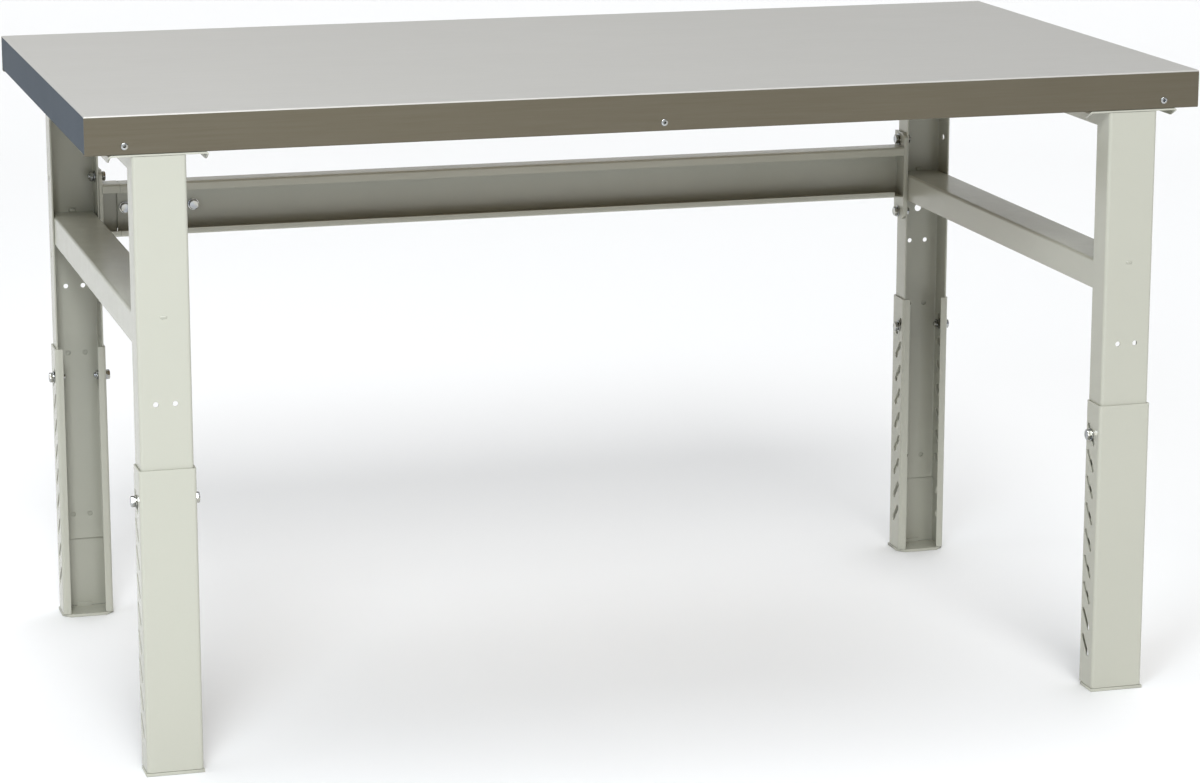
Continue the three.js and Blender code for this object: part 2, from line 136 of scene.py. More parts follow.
# Softboxes: name, place, target, side of the square, watts, colour
SOFTBOXES = (
    ("top_softbox", (-1.1, 0.3, 2.5), (-0.9, 0.1, 0.9), 1.4, 9, (1.0, 1.0, 1.0)),
    ("left_softbox", (-1.3, -2.4, 2.4), (-0.7, -0.4, 0.3), 1.0, 38, (0.86, 0.93, 1.0)),
)

# Colours, each with the shade that it drifts to
PAINT = (0.455, 0.453, 0.390), (0.442, 0.440, 0.378)
PAINTED_WELD = (0.44, 0.44, 0.375), (0.40, 0.40, 0.34)
TOP_STEEL = (0.470, 0.459, 0.432), (0.462, 0.451, 0.424)
# The skirt's steel is the top's steel painted darker: painted shade and painted reflection of the darker
# surroundings
SHADED_SKIRT_STEEL = (0.133, 0.116, 0.079), (0.127, 0.110, 0.075)
# The end caps' steel is the top's steel painted darker and bluer: painted shade with a painted blue
# reflection
SHADED_END_STEEL = (0.055, 0.076, 0.100), (0.051, 0.071, 0.094)
ZINC = (0.44, 0.46, 0.49), (0.50, 0.485, 0.43)
BOARD = (0.20, 0.135, 0.075), (0.40, 0.30, 0.18)
FLOOR = (0.81, 0.81, 0.81), (0.83, 0.83, 0.83)
SPECKLE, ROLLED_GRAIN = (0.36, 0.355, 0.31), (0.30, 0.29, 0.27)
SCRATCH, BOARD_DUST = (0.80, 0.79, 0.76), (0.17, 0.115, 0.065)

CORNERS = [(end, side) for side in ("left", "right") for end in ("front", "back")]


# Camera, floor and light

def make_camera():
    data = bpy.data.cameras.new("camera")
    data.lens = CAMERA_LENS_MM
    data.sensor_width = CAMERA_SENSOR_MM
    data.clip_end = CAMERA_REACH
    camera = bpy.data.objects.new("camera", data)
    camera.location = CAMERA_PLACE
    dip = math.radians(90 + CAMERA_DIP_DEG)
    camera.rotation_euler = (dip, 0, math.radians(CAMERA_TURN_DEG))
    bpy.context.collection.objects.link(camera)
    bpy.context.scene.camera = camera


def make_floor():
    """A pale floor whose far edge curves gently up all round."""
    profile = [(radius, 0.0) for radius in FLOOR_RADII]
    for step in range(1, FLOOR_STEPS + 1):
        angle = math.radians(FLOOR_ARC_DEG) * step / FLOOR_STEPS
        radius = FLOOR_RADII[-1] + FLOOR_BEND * math.sin(angle)
        profile.append((radius, FLOOR_BEND * (1 - math.cos(angle))))
    bm = bmesh.new()
    rings = []
    for radius, height in profile:
        ring = []
        for side in range(FLOOR_SIDES):
            turn = 2 * math.pi * side / FLOOR_SIDES
            ring.append(bm.verts.new((radius * math.cos(turn), radius * math.sin(turn), height)))
        rings.append(ring)
    bm.faces.new(rings[0])
    for low, high in zip(rings, rings[1:]):
        for i in range(FLOOR_SIDES):
            j = (i + 1) % FLOOR_SIDES
            bm.faces.new((low[i], low[j], high[j], high[i]))
    floor = object_from(bm, "floor", floor_material())
    floor.location.z = cad_low.z - FLOOR_DROP


def add_sun(name, way, strength, spread_deg, colour):
    """A very soft lamp, so far off that it lights the floor evenly."""
    data = bpy.data.lights.new(name, "SUN")
    data.energy = strength
    data.angle = math.radians(spread_deg)
    data.color = colour
    light = bpy.data.objects.new(name, data)
    light.location = Vector(way) * 3
    light.rotation_euler = Vector(way).to_track_quat("Z", "Y").to_euler()
    bpy.context.collection.objects.link(light)


def add_softbox(name, place, target, size, watts, colour):
    """A square area lamp that faces its target."""
    data = bpy.data.lights.new(name, "AREA")
    data.shape = "RECTANGLE"
    data.size = size
    data.size_y = size
    data.energy = watts
    data.color = colour
    light = bpy.data.objects.new(name, data)
    light.location = place
    light.rotation_euler = (Vector(place) - Vector(target)).to_track_quat("Z", "Y").to_euler()
    bpy.context.collection.objects.link(light)


def make_light():
    world = bpy.data.worlds.new("world")
    world.use_nodes = True
    background = world.node_tree.nodes["Background"]
    background.inputs["Color"].default_value = WORLD_COLOUR
    background.inputs["Strength"].default_value = WORLD_STRENGTH
    scene = bpy.context.scene
    scene.world = world
    scene.view_settings.view_transform = "Standard"
    scene.view_settings.look = "Medium High Contrast"
    for sun in SUNS:
        add_sun(*sun)
    for softbox in SOFTBOXES:
        add_softbox(*softbox)


# Materials

class Nodes:
    """A short way to write a node material."""

    def __init__(self, name):
        self.material = bpy.data.materials.new(name)
        self.material.use_nodes = True
        self.tree = self.material.node_tree
        self.shader = self.tree.nodes["Principled BSDF"]

    def add(self, kind, links=None, **settings):
        node = self.tree.nodes.new(kind)
        for key, value in settings.items():
            setattr(node, key, value)
        for key, value in (links or {}).items():
            self.feed(node, key, value)
        return node

    def feed(self, node, key, value):
        if isinstance(value, bpy.types.NodeSocket):
            self.tree.links.new(value, node.inputs[key])
        else:
            node.inputs[key].default_value = value

    def place(self, stretch=(1, 1, 1)):
        """Object coordinates in metres, stretched."""
        coordinates = self.add("ShaderNodeTexCoord").outputs["Object"]
        return self.add("ShaderNodeMapping", {"Vector": coordinates, "Scale": stretch}).outputs["Vector"]

    def noise(self, scale, detail=3.0, stretch=(1, 1, 1), roughness=0.5):
        links = {"Vector": self.place(stretch), "Scale": scale, "Detail": detail, "Roughness": roughness}
        return self.add("ShaderNodeTexNoise", links).outputs["Fac"]

    def span(self, value, low, high, to_low=0.0, to_high=1.0):
        links = {"Value": value, "From Min": low, "From Max": high, "To Min": to_low, "To Max": to_high}
        return self.add("ShaderNodeMapRange", links).outputs["Result"]

    def mix(self, factor, first, second):
        node = self.add("ShaderNodeMix", data_type="RGBA")
        self.feed(node, 0, factor)
        self.feed(node, 6, first)
        self.feed(node, 7, second)
        return node.outputs[2]

    def math(self, operation, first, second):
        node = self.add("ShaderNodeMath", operation=operation)
        self.feed(node, 0, first)
        self.feed(node, 1, second)
        return node.outputs[0]

    def bump(self, height, strength, distance):
        links = {"Height": height, "Strength": strength, "Distance": distance}
        return self.add("ShaderNodeBump", links).outputs["Normal"]

    def finish(self, **inputs):
        for key, value in inputs.items():
            self.feed(self.shader, key.replace("_", " "), value)
        return self.material


def rgb(colour):
    return (*colour, 1.0)


def rgb_pair(colours):
    return rgb(colours[0]), rgb(colours[1])


def paint_material(name, colours):
    """Satin powder coat: orange-peel skin, slow colour drift, fine speckle and uneven gloss."""
    n = Nodes(name)
    drift = n.noise(scale=3.0, detail=2.0)
    base = n.mix(n.span(drift, 0.3, 0.7), *rgb_pair(colours))
    speckle = n.span(n.noise(scale=900.0, detail=2.0), 0.45, 0.75, to_high=0.10)
    base = n.mix(speckle, base, rgb(SPECKLE))
    peel = n.noise(scale=1400.0, detail=2.0)
    grain = n.noise(scale=5200.0, detail=1.0)
    height = n.math("ADD", peel, n.math("MULTIPLY", grain, 0.35))
    rough = n.span(n.noise(scale=25.0), 0.3, 0.7, to_low=0.19, to_high=0.255)
    return n.finish(Base_Color=base, Roughness=rough, Normal=n.bump(height, 0.16, 0.2 * MM))


def steel_material(name, colours, metallic, rough, specular=0.5):
    """Sheet steel with a fine rolled grain along X, cloudy patches and hairline scratches."""
    n = Nodes(name)
    clouds = n.noise(scale=2.2, stretch=(1, 1.6, 1))
    base = n.mix(n.span(clouds, 0.3, 0.7), *rgb_pair(colours))
    grain = n.noise(scale=260.0, detail=4.0, stretch=(0.03, 1, 1), roughness=0.7)
    base = n.mix(n.span(grain, 0.2, 0.8, to_high=0.12), base, rgb(ROLLED_GRAIN))
    streaks = n.noise(scale=34.0, detail=8.0, stretch=(0.10, 1.5, 1), roughness=0.75)
    scratch = n.span(streaks, 0.70, 0.76)
    base = n.mix(n.math("MULTIPLY", scratch, 0.20), base, rgb(SCRATCH))
    smudge = n.span(n.noise(scale=9.0, detail=4.0), 0.3, 0.7, to_low=rough - 0.01, to_high=rough + 0.02)
    roughness = n.math("ADD", smudge, n.math("MULTIPLY", grain, 0.05))
    height = n.math("ADD", grain, n.math("MULTIPLY", scratch, -0.5))
    n.shader.inputs["Specular IOR Level"].default_value = specular
    return n.finish(Base_Color=base, Roughness=roughness, Metallic=metallic,
                    Normal=n.bump(height, 0.10, 0.1 * MM))


def zinc_material():
    """Bright zinc plate with a faint blue and straw passivate."""
    n = Nodes("zinc_plate")
    tint = n.noise(scale=120.0, detail=2.0)
    base = n.mix(n.span(tint, 0.35, 0.65), *rgb_pair(ZINC))
    rough = n.span(n.noise(scale=700.0), 0.3, 0.7, to_low=0.17, to_high=0.26)
    height = n.noise(scale=2500.0, detail=2.0)
    return n.finish(Base_Color=base, Roughness=rough, Metallic=1.0, Normal=n.bump(height, 0.08, 0.1 * MM))


def board_material():
    """Particle board: pressed flakes of several browns."""
    n = Nodes("particle_board")
    flakes = n.add("ShaderNodeTexVoronoi", {"Vector": n.place((1, 1.7, 1)), "Scale": 240.0})
    value = n.add("ShaderNodeSeparateColor", {"Color": flakes.outputs["Color"]}).outputs["Red"]
    base = n.mix(value, *rgb_pair(BOARD))
    dust = n.span(n.noise(scale=90.0, detail=4.0), 0.35, 0.75, to_high=0.5)
    base = n.mix(dust, base, rgb(BOARD_DUST))
    return n.finish(Base_Color=base, Roughness=0.85, Normal=n.bump(value, 0.3, 0.3 * MM))


def weld_material():
    """Painted weld bead: the frame's paint, a little darker."""
    return paint_material("painted_weld", PAINTED_WELD)


def floor_material():
    n = Nodes("studio_floor")
    base = n.mix(n.noise(scale=0.7, detail=2.0), *rgb_pair(FLOOR))
    return n.finish(Base_Color=base, Roughness=0.75)


# Mesh tools

def object_from(bm, name, material):
    """Makes an object of a bmesh, smooth, with its flat faces kept flat by weighted normals."""
    bmesh.ops.recalc_face_normals(bm, faces=bm.faces)
    mesh = bpy.data.meshes.new(name)
    bm.to_mesh(mesh)
    bm.free()
    mesh.shade_smooth()
    mesh.materials.append(material)
    made = bpy.data.objects.new(name, mesh)
    bpy.context.collection.objects.link(made)
    weighted = made.modifiers.new("weighted_normals", "WEIGHTED_NORMAL")
    weighted.keep_sharp = True
    weighted.weight = 100
    return made


def hand_over(made, body, slot, *nodes):
    """Hangs a piece on the body that it rides on, and hides the CAD nodes that it stands for. The slot is not
    used.
    """
    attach(made, body)
    if nodes:
        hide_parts(*nodes)


def circle_loop(u, v, radius, sides=HOLE_SIDES):
    turns = [2 * math.pi * i / sides for i in range(sides)]
    return [(u + radius * math.cos(turn), v + radius * math.sin(turn)) for turn in turns]


def slot_loop(u, v, run, rise, width):
    """A round-ended slot centred on (u, v), whose end centres are run and rise apart."""
    half = math.hypot(run, rise) / 2
    lean = math.atan2(rise, run)
    loop = []
    for way, start in ((1, 0), (-1, math.pi)):
        end_u = u + way * half * math.cos(lean)
        end_v = v + way * half * math.sin(lean)
        for step in range(SLOT_END_STEPS + 1):
            angle = lean - math.pi / 2 + math.pi * step / SLOT_END_STEPS + start
            loop.append((end_u + width / 2 * math.cos(angle), end_v + width / 2 * math.sin(angle)))
    return loop


def moved_outline(loop, distance):
    """The loop with each side moved to its left by distance (corners mitred)."""
    moved = []
    for i, point in enumerate(loop):
        before = (Vector(point) - Vector(loop[i - 1])).normalized()
        after = (Vector(loop[(i + 1) % len(loop)]) - Vector(point)).normalized()
        first = Vector((-before.y, before.x))
        second = Vector((-after.y, after.x))
        moved.append(tuple(Vector(point) + (first + second) * (distance / (1 + first.dot(second)))))
    return moved


class Section:
    """Cross-section of a folded sheet. The path is its outside line with square corners, each turning left.
    A place on the unfolded sheet is u, the distance along the outside line. Each piece holds its kind and its
    first and last u. A flat also holds its start, direction and left side, and an arc its centre, arm and
    radius."""

    def __init__(self, path, wall, bend):
        self.wall = wall
        self.pieces = []
        self.folds = []
        points = [Vector(p) for p in path]
        u = 0.0
        start = points[0]
        for i in range(1, len(points)):
            along = (points[i] - points[i - 1]).normalized()
            left = Vector((-along.y, along.x))
            last = i == len(points) - 1
            end = points[i] if last else points[i] - along * bend
            length = (end - start).length
            self.pieces.append(("flat", u, u + length, start, along, left))
            u += length
            if not last:
                arc = bend * math.pi / 2
                self.pieces.append(("arc", u, u + arc, end + left * bend, -left, bend))
                self.folds += [u + arc * step / BEND_STEPS for step in range(BEND_STEPS + 1)]
                u += arc
                following = (points[i + 1] - points[i]).normalized()
                start = points[i] + following * bend
        self.width = u

    def point(self, u, depth):
        """Place in the section plane, depth below the outside face."""
        for kind, low, high, first, second, third in self.pieces:
            if u <= high + TOUCHING:
                break
        if kind == "flat":
            return first + second * (u - low) + third * depth
        turn = (u - low) / third
        arm = Matrix.Rotation(turn, 2) @ second
        return first + arm * (third - depth)

    def u_of(self, flat, distance):
        """u at a distance along the numbered flat, measured from its square corner or edge."""
        flats = [piece for piece in self.pieces if piece[0] == "flat"]
        low = flats[flat][1]
        bend = 0.0 if flat == 0 else next(p[5] for p in self.pieces if p[0] == "arc")
        return low + distance - bend


def add_sheet(bm, section, outline, holes, to_space):
    """Adds a folded sheet with rounded rims. outline runs anticlockwise in (u, v); holes are loops in it.
    to_space turns (section point, v) into a point of the row frame."""
    flat = bmesh.new()
    loops = [moved_outline(outline, RIM_ROUND)]
    loops += [moved_outline(hole, -RIM_ROUND) for hole in holes]
    edges = []
    for loop in loops:
        verts = [flat.verts.new((u, v, 0)) for u, v in loop]
        edges += [flat.edges.new((a, b)) for a, b in zip(verts, verts[1:] + verts[:1])]
    bmesh.ops.triangle_fill(flat, edges=edges, use_beauty=True, use_dissolve=False)
    for fold in section.folds:
        everything = list(flat.verts) + list(flat.edges) + list(flat.faces)
        bmesh.ops.bisect_plane(flat, geom=everything, dist=FOLD_SNAP,
                               plane_co=(fold, 0, 0), plane_no=(1, 0, 0))
    flat.verts.index_update()
    flat.verts.ensure_lookup_table()

    def put(u, v, depth):
        u = min(max(u, 0.0), section.width)
        return bm.verts.new(to_space(section.point(u, depth), v))

    wall = section.wall
    top = {vert.index: put(vert.co.x, vert.co.y, 0.0) for vert in flat.verts}
    bottom = {vert.index: put(vert.co.x, vert.co.y, wall) for vert in flat.verts}
    for face in flat.faces:
        bm.faces.new([top[vert.index] for vert in face.verts])
        bm.faces.new([bottom[vert.index] for vert in reversed(face.verts)])
    add_rim(bm, flat, top, bottom, put, wall)
    flat.free()


def add_rim(bm, flat, top, bottom, put, wall):
    """Joins the two faces of a sheet round its open edges, with rounded corners."""
    outward = {}
    for edge in flat.edges:
        if edge.is_boundary:
            along = (edge.verts[1].co - edge.verts[0].co).normalized()
            side = Vector((along.y, -along.x, 0))
            inside = edge.link_faces[0].calc_center_median()
            if side.dot(inside - edge.verts[0].co) > 0:
                side.negate()
            for vert in edge.verts:
                outward.setdefault(vert.index, []).append(side)
    rings = {}
    for index, (first, second) in outward.items():
        away = (first + second) / (1 + first.dot(second))
        co = flat.verts[index].co
        out, down = RIM_CORNER
        ring = [top[index]]
        for share, depth in ((out, RIM_ROUND * down), (1.0, RIM_ROUND),
                             (1.0, wall - RIM_ROUND), (out, wall - RIM_ROUND * down)):
            place = co + away * (RIM_ROUND * share)
            ring.append(put(place.x, place.y, depth))
        ring.append(bottom[index])
        rings[index] = ring
    for edge in flat.edges:
        if edge.is_boundary:
            first, second = rings[edge.verts[0].index], rings[edge.verts[1].index]
            for i in range(len(first) - 1):
                bm.faces.new((first[i], second[i], second[i + 1], first[i + 1]))


def rectangle(width, low, high):
    return [(0, low), (width, low), (width, high), (0, high)]


def channel_path(low_x, high_x, open_y, back_y, lip=0.0):
    path = [(high_x, open_y), (high_x, back_y), (low_x, back_y), (low_x, open_y)]
    if lip:
        path = [(high_x - lip, open_y)] + path + [(low_x + lip, open_y)]
    return path


# Legs

def corner_frame(node, end):
    """Middle x, half width, open and closed depth, bottom and top of a leg's piece, seen as on a back leg,
    and the way that it is turned."""
    low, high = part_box(node)
    middle = (low.x + high.x) / 2
    half = (high.x - low.x) / 2
    if end == "back":
        return middle, half, low.y, high.y, low.z, high.z, 1
    return middle, half, -high.y, -low.y, low.z, high.z, -1


def slots(section, flats, depth, edge_distance, bottom, count, slant):
    """Slanted slots in both side flanges. The two flats run opposite ways along the section."""
    holes = []
    for i in range(count):
        v = SLOT_FIRST_Z - i * SLOT_PITCH - bottom
        near = section.u_of(flats[0], edge_distance)
        far = section.u_of(flats[1], depth - edge_distance)
        holes.append(slot_loop(near, v, -slant * SLOT_RUN, SLOT_RISE, SLOT_WIDTH))
        holes.append(slot_loop(far, v, slant * SLOT_RUN, SLOT_RISE, SLOT_WIDTH))
    return holes


def make_upper_leg(end, side, paint):
    node = f"upper_leg_{end}_{side}"
    middle, half, edge, face, bottom, top, way = corner_frame(node, end)
    section = Section(channel_path(-half, half, edge, face), SLEEVE_WALL, LEG_BEND)
    slot_distance = SLOT_FROM_EDGE - SLEEVE_WALL - GAP
    holes = slots(section, (0, 2), face - edge, slot_distance, bottom, INNER_SLOT_COUNT, -1)
    for height in WEB_HOLE_HEIGHTS:
        for x in (-WEB_HOLE_SPACING / 2, WEB_HOLE_SPACING / 2):
            holes.append(circle_loop(section.u_of(1, half - x), height - bottom, WEB_HOLE_RADIUS))
    if end == "back":
        holes.append(circle_loop(section.u_of(1, half), CABLE_HOLE_Z - bottom, CABLE_HOLE_RADIUS))
        for height in PLATE_BOLT_HEIGHTS:
            near = section.u_of(0, PLATE_BOLT_Y - edge)
            far = section.u_of(2, face - PLATE_BOLT_Y)
            holes.append(circle_loop(near, height - bottom, M8_HOLE))
            holes.append(circle_loop(far, height - bottom, M8_HOLE))
    bm = bmesh.new()
    add_sheet(bm, section, rectangle(section.width, 0, top - bottom), holes,
              lambda p, v: (middle + way * p.x, way * p.y, bottom + v))
    hand_over(object_from(bm, f"leg_channel_{end}_{side}", paint), "frame", "paint", node)


def make_leg_extension(end, side, paint):
    node = f"leg_extension_{end}_{side}"
    middle, half, edge, face, bottom, top, way = corner_frame(node, end)
    section = Section(channel_path(-half, half, edge, face, SLEEVE_LIP), SLEEVE_WALL, LEG_BEND)
    holes = slots(section, (1, 3), face - edge, SLOT_FROM_EDGE, bottom, SLOT_COUNT, 1)
    bm = bmesh.new()
    add_sheet(bm, section, rectangle(section.width, 0, top - bottom), holes,
              lambda p, v: (middle + way * p.x, way * p.y, bottom + v))
    hand_over(object_from(bm, f"leg_sleeve_{end}_{side}", paint), f"leg_{end}_{side}", "paint", node)


def make_foot(end, side, paint):
    node = f"foot_plate_{end}_{side}"
    middle, half, edge, face, bottom, top, way = corner_frame(node, end)
    plate_top = bottom + FOOT_THICKNESS
    section = Section([(half, plate_top), (-half, plate_top)], FOOT_THICKNESS, LEG_BEND)
    cut = FOOT_CHAMFER
    outline = [(0, edge + cut), (cut, edge), (2 * half - cut, edge), (2 * half, edge + cut),
               (2 * half, face), (0, face)]
    bm = bmesh.new()
    add_sheet(bm, section, outline, [], lambda p, v: (middle + way * p.x, way * v, p.y))
    tab_face = face - FOOT_OVERHANG - SLEEVE_WALL - GAP
    tab_path = [(FOOT_TAB_HALF_WIDTH, tab_face), (-FOOT_TAB_HALF_WIDTH, tab_face)]
    tab = Section(tab_path, SLEEVE_WALL, LEG_BEND)
    add_sheet(bm, tab, rectangle(tab.width, FOOT_TAB_BOTTOM, top), [],
              lambda p, v: (middle + way * p.x, way * p.y, v))
    hand_over(object_from(bm, f"foot_{end}_{side}", paint), f"leg_{end}_{side}", "paint", node)


# Rails, supports and beam

def make_rail(node, name, paint):
    low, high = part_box(node)
    section = Section(channel_path(low.x, high.x, low.z, high.z), SLEEVE_WALL, RAIL_BEND)
    bm = bmesh.new()
    add_sheet(bm, section, rectangle(section.width, low.y, high.y), [], lambda p, v: (p.x, v, p.y))
    hand_over(object_from(bm, name, paint), "frame", "paint", node)


def make_support(side, paint):
    node = f"worktop_support_{side}"
    low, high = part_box(node)
    section = Section(channel_path(low.x, high.x, low.z, high.z), SUPPORT_WALL, RAIL_BEND)
    flange = high.z - low.z - SUPPORT_WALL - SUPPORT_CHAMFER_BELOW_WEB
    wide, cut = section.width, SUPPORT_CHAMFER
    outline = [(0, low.y + cut), (flange, low.y), (wide - flange, low.y), (wide, low.y + cut),
               (wide, high.y - cut), (wide - flange, high.y), (flange, high.y), (0, high.y - cut)]
    holes = []
    for screw in range(1, FIXING_SCREW_COUNT + 1):
        place = sum(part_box(f"fixing_screw_{screw}"), Vector()) / 2
        across = (low.x + high.x) / 2 - place.x
        if abs(across) < high.x - low.x:
            for way in (-1, 1):
                u = section.u_of(1, (high.x - low.x) / 2 + way * across)
                holes.append(circle_loop(u, place.y, FIXING_HOLE))
    bm = bmesh.new()
    add_sheet(bm, section, outline, holes, lambda p, v: (p.x, v, p.y))
    hand_over(object_from(bm, f"support_channel_{side}", paint), "frame", "paint", node)


def beam_path(front, back, bottom, top):
    return [(front, bottom + BEAM_BOTTOM_LIP), (front, bottom), (back, bottom),
            (back, top), (front, top), (front, top - BEAM_TOP_LIP)]


def make_beam(paint):
    low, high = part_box("rear_beam")
    section = Section(beam_path(low.y, high.y, low.z, high.z), SLEEVE_WALL, RAIL_BEND)
    lip_end = section.folds[BEND_STEPS]
    stop = high.x - BEAM_TRIM
    outline = [(0, low.x), (section.width, low.x), (section.width, high.x), (lip_end, high.x),
               (lip_end, stop + BEAM_TRIM_CHAMFER), (lip_end - BEAM_TRIM_CHAMFER, stop), (0, stop)]
    web_u = section.u_of(2, TONGUE_BOLT_Z - low.z)
    holes = [circle_loop(web_u, x, M8_HOLE) for x in TONGUE_BOLT_XS]
    bm = bmesh.new()
    add_sheet(bm, section, outline, holes, lambda p, v: (v, p.x, p.y))
    hand_over(object_from(bm, "rear_beam_channel", paint), "frame", "paint", "rear_beam")


def add_end_plate(bm, outer_x, inner_x, low, high):
    """A chamfered plate across the beam's end, with its two bolt holes."""
    deep, cut = high.y - low.y, PLATE_CHAMFER
    if outer_x > inner_x:
        path = [(outer_x, low.y), (outer_x, high.y)]
        outline = [(cut, low.z), (deep, low.z), (deep, high.z),
                   (cut, high.z), (0, high.z - cut), (0, low.z + cut)]
        bolt_u = PLATE_BOLT_Y - low.y
    else:
        path = [(outer_x, high.y), (outer_x, low.y)]
        outline = [(0, low.z), (deep - cut, low.z), (deep, low.z + cut), (deep, high.z - cut),
                   (deep - cut, high.z), (0, high.z)]
        bolt_u = high.y - PLATE_BOLT_Y
    section = Section(path, abs(outer_x - inner_x), RAIL_BEND)
    holes = [circle_loop(bolt_u, height, M8_HOLE) for height in PLATE_BOLT_HEIGHTS]
    add_sheet(bm, section, outline, holes, lambda p, v: (p.x, p.y, v))


def make_end_plate(paint):
    low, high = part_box("beam_end_plate_right")
    bm = bmesh.new()
    add_end_plate(bm, high.x, low.x, low, high)
    hand_over(object_from(bm, "beam_plate_right", paint), "frame", "paint", "beam_end_plate_right")


def make_left_bracket(paint):
    low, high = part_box("beam_bracket_left")
    plate_low, plate_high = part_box("beam_end_plate_right")
    beam_low, beam_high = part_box("rear_beam")
    thickness = plate_high.x - plate_low.x
    inner = low.x + thickness
    tongue_front = beam_high.y + GAP
    tongue_back = tongue_front + TONGUE_THICKNESS
    bm = bmesh.new()
    add_end_plate(bm, low.x, inner, plate_low, plate_high)
    stub_path = beam_path(beam_low.y, tongue_back, beam_low.z, beam_high.z)
    stub = Section(stub_path, SLEEVE_WALL, RAIL_BEND)
    stub_end = inner + STUB_LENGTH
    add_sheet(bm, stub, rectangle(stub.width, inner - GAP, stub_end), [], lambda p, v: (v, p.x, p.y))
    tongue_path = [(high.x, tongue_back), (stub_end - TONGUE_OVERLAP, tongue_back)]
    tongue = Section(tongue_path, tongue_back - tongue_front, RAIL_BEND)
    holes = [circle_loop(high.x - x, TONGUE_BOLT_Z, M8_HOLE)
             for x in TONGUE_BOLT_XS if x > stub_end + TONGUE_HOLE_MARGIN]
    outline = rectangle(tongue.width, TONGUE_BOTTOM, TONGUE_TOP)
    add_sheet(bm, tongue, outline, holes, lambda p, v: (p.x, p.y, v))
    hand_over(object_from(bm, "beam_bracket", paint), "frame", "paint", "beam_bracket_left")


# Worktop

def make_worktop(top_steel, shaded_skirt_steel, shaded_end_steel, board):
    low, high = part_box("worktop_skin")
    section = Section(channel_path(low.y, high.y, low.z, high.z, SKIN_LIP), SKIN_WALL, SKIN_BEND)
    holes = []
    for place in ("left", "middle", "right"):
        screw = sum(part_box(f"skirt_screw_{place}"), Vector()) / 2
        holes.append(circle_loop(section.u_of(3, high.z - screw.z), screw.x, SKIRT_HOLE))
    bm = bmesh.new()
    add_sheet(bm, section, rectangle(section.width, low.x, high.x), holes, lambda p, v: (v, p.x, p.y))
    skin = object_from(bm, "worktop_sheet", top_steel)
    skin.data.materials.append(shaded_skirt_steel)
    # Faces of the top and the upper fold get the lighter steel, a painted highlight on the fold; the rest get
    # the darker skirt steel, painted shade and reflection
    for face in skin.data.polygons:
        top_or_highlight = face.center.z > high.z - TOP_AND_HIGHLIGHT_DEPTH
        face.material_index = 0 if top_or_highlight else 1
    hand_over(skin, "frame", "steel_skin", "worktop_skin")
    for side in ("left", "right"):
        # The end caps get the darker, bluer steel: painted shade with a painted blue reflection
        make_end_cap(side, shaded_end_steel)
    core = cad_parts["worktop_core"]
    core.data.materials.clear()
    core.data.materials.append(board)


def make_end_cap(side, steel):
    node = f"worktop_end_cap_{side}"
    low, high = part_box(node)
    if side == "right":
        path = [(high.x, low.y), (high.x, high.y)]
    else:
        path = [(low.x, high.y), (low.x, low.y)]
    section = Section(path, high.x - low.x, RAIL_BEND)
    bm = bmesh.new()
    add_sheet(bm, section, rectangle(section.width, low.z, high.z), [], lambda p, v: (p.x, p.y, v))
    hand_over(object_from(bm, f"end_cap_{side}", steel), "frame", "steel_skin", node)


# Fasteners, drawn along +X from the joint face at x = 0

def angles():
    return [2 * math.pi * i / HEX_SAMPLES for i in range(HEX_SAMPLES)]


def hex_radius(flats, angle):
    third = math.pi / 3
    return flats / 2 / math.cos((angle % third) - third / 2)


def round_ring(radius, x):
    return [(x, radius * math.cos(a), radius * math.sin(a)) for a in angles()]


def hex_ring(flats, x, chamfer_way=0):
    """A hexagon at x. With a chamfer, its corners are cut back along a cone, so x follows the scallops."""
    ring = []
    for a in angles():
        radius = hex_radius(flats, a)
        dip = max(0.0, radius - flats * 0.478) * CHAMFER_SLOPE * chamfer_way
        ring.append((x - dip, radius * math.cos(a), radius * math.sin(a)))
    return ring


def add_rings(bm, rings, placing, hollow=False):
    """Skins a stack of rings; the ends are capped, or the last ring is joined to the first."""
    made = [[bm.verts.new(placing @ Vector(point)) for point in ring] for ring in rings]
    pairs = list(zip(made, made[1:]))
    if hollow:
        pairs.append((made[-1], made[0]))
    for first, second in pairs:
        for i in range(HEX_SAMPLES):
            j = (i + 1) % HEX_SAMPLES
            bm.faces.new((first[i], first[j], second[j], second[i]))
    if not hollow:
        bm.faces.new(made[0][::-1])
        bm.faces.new(made[-1])


def add_washer(bm, placing):
    low, high, edge, bore = GAP, GAP + WASHER_HEIGHT, WASHER_EDGE, M8_HOLE - WASHER_PLAY
    profile = [(bore, low), (WASHER_RADIUS - edge, low), (WASHER_RADIUS, low + edge),
               (WASHER_RADIUS, high - edge), (WASHER_RADIUS - edge, high), (bore, high)]
    add_rings(bm, [round_ring(radius, x) for radius, x in profile], placing, hollow=True)


def add_thread(bm, placing, start, end):
    """A bolt's end: V grooves a pitch apart, and a chamfered tip."""
    rings = []
    x = start
    while x < end - THREAD_PITCH:
        rings.append(round_ring(THREAD_RADIUS, x))
        rings.append(round_ring(THREAD_RADIUS - THREAD_DEPTH, x + THREAD_PITCH * 0.45))
        x += THREAD_PITCH
    rings.append(round_ring(THREAD_RADIUS, x))
    rings.append(round_ring(THREAD_RADIUS - THREAD_TIP, end))
    add_rings(bm, rings, placing)


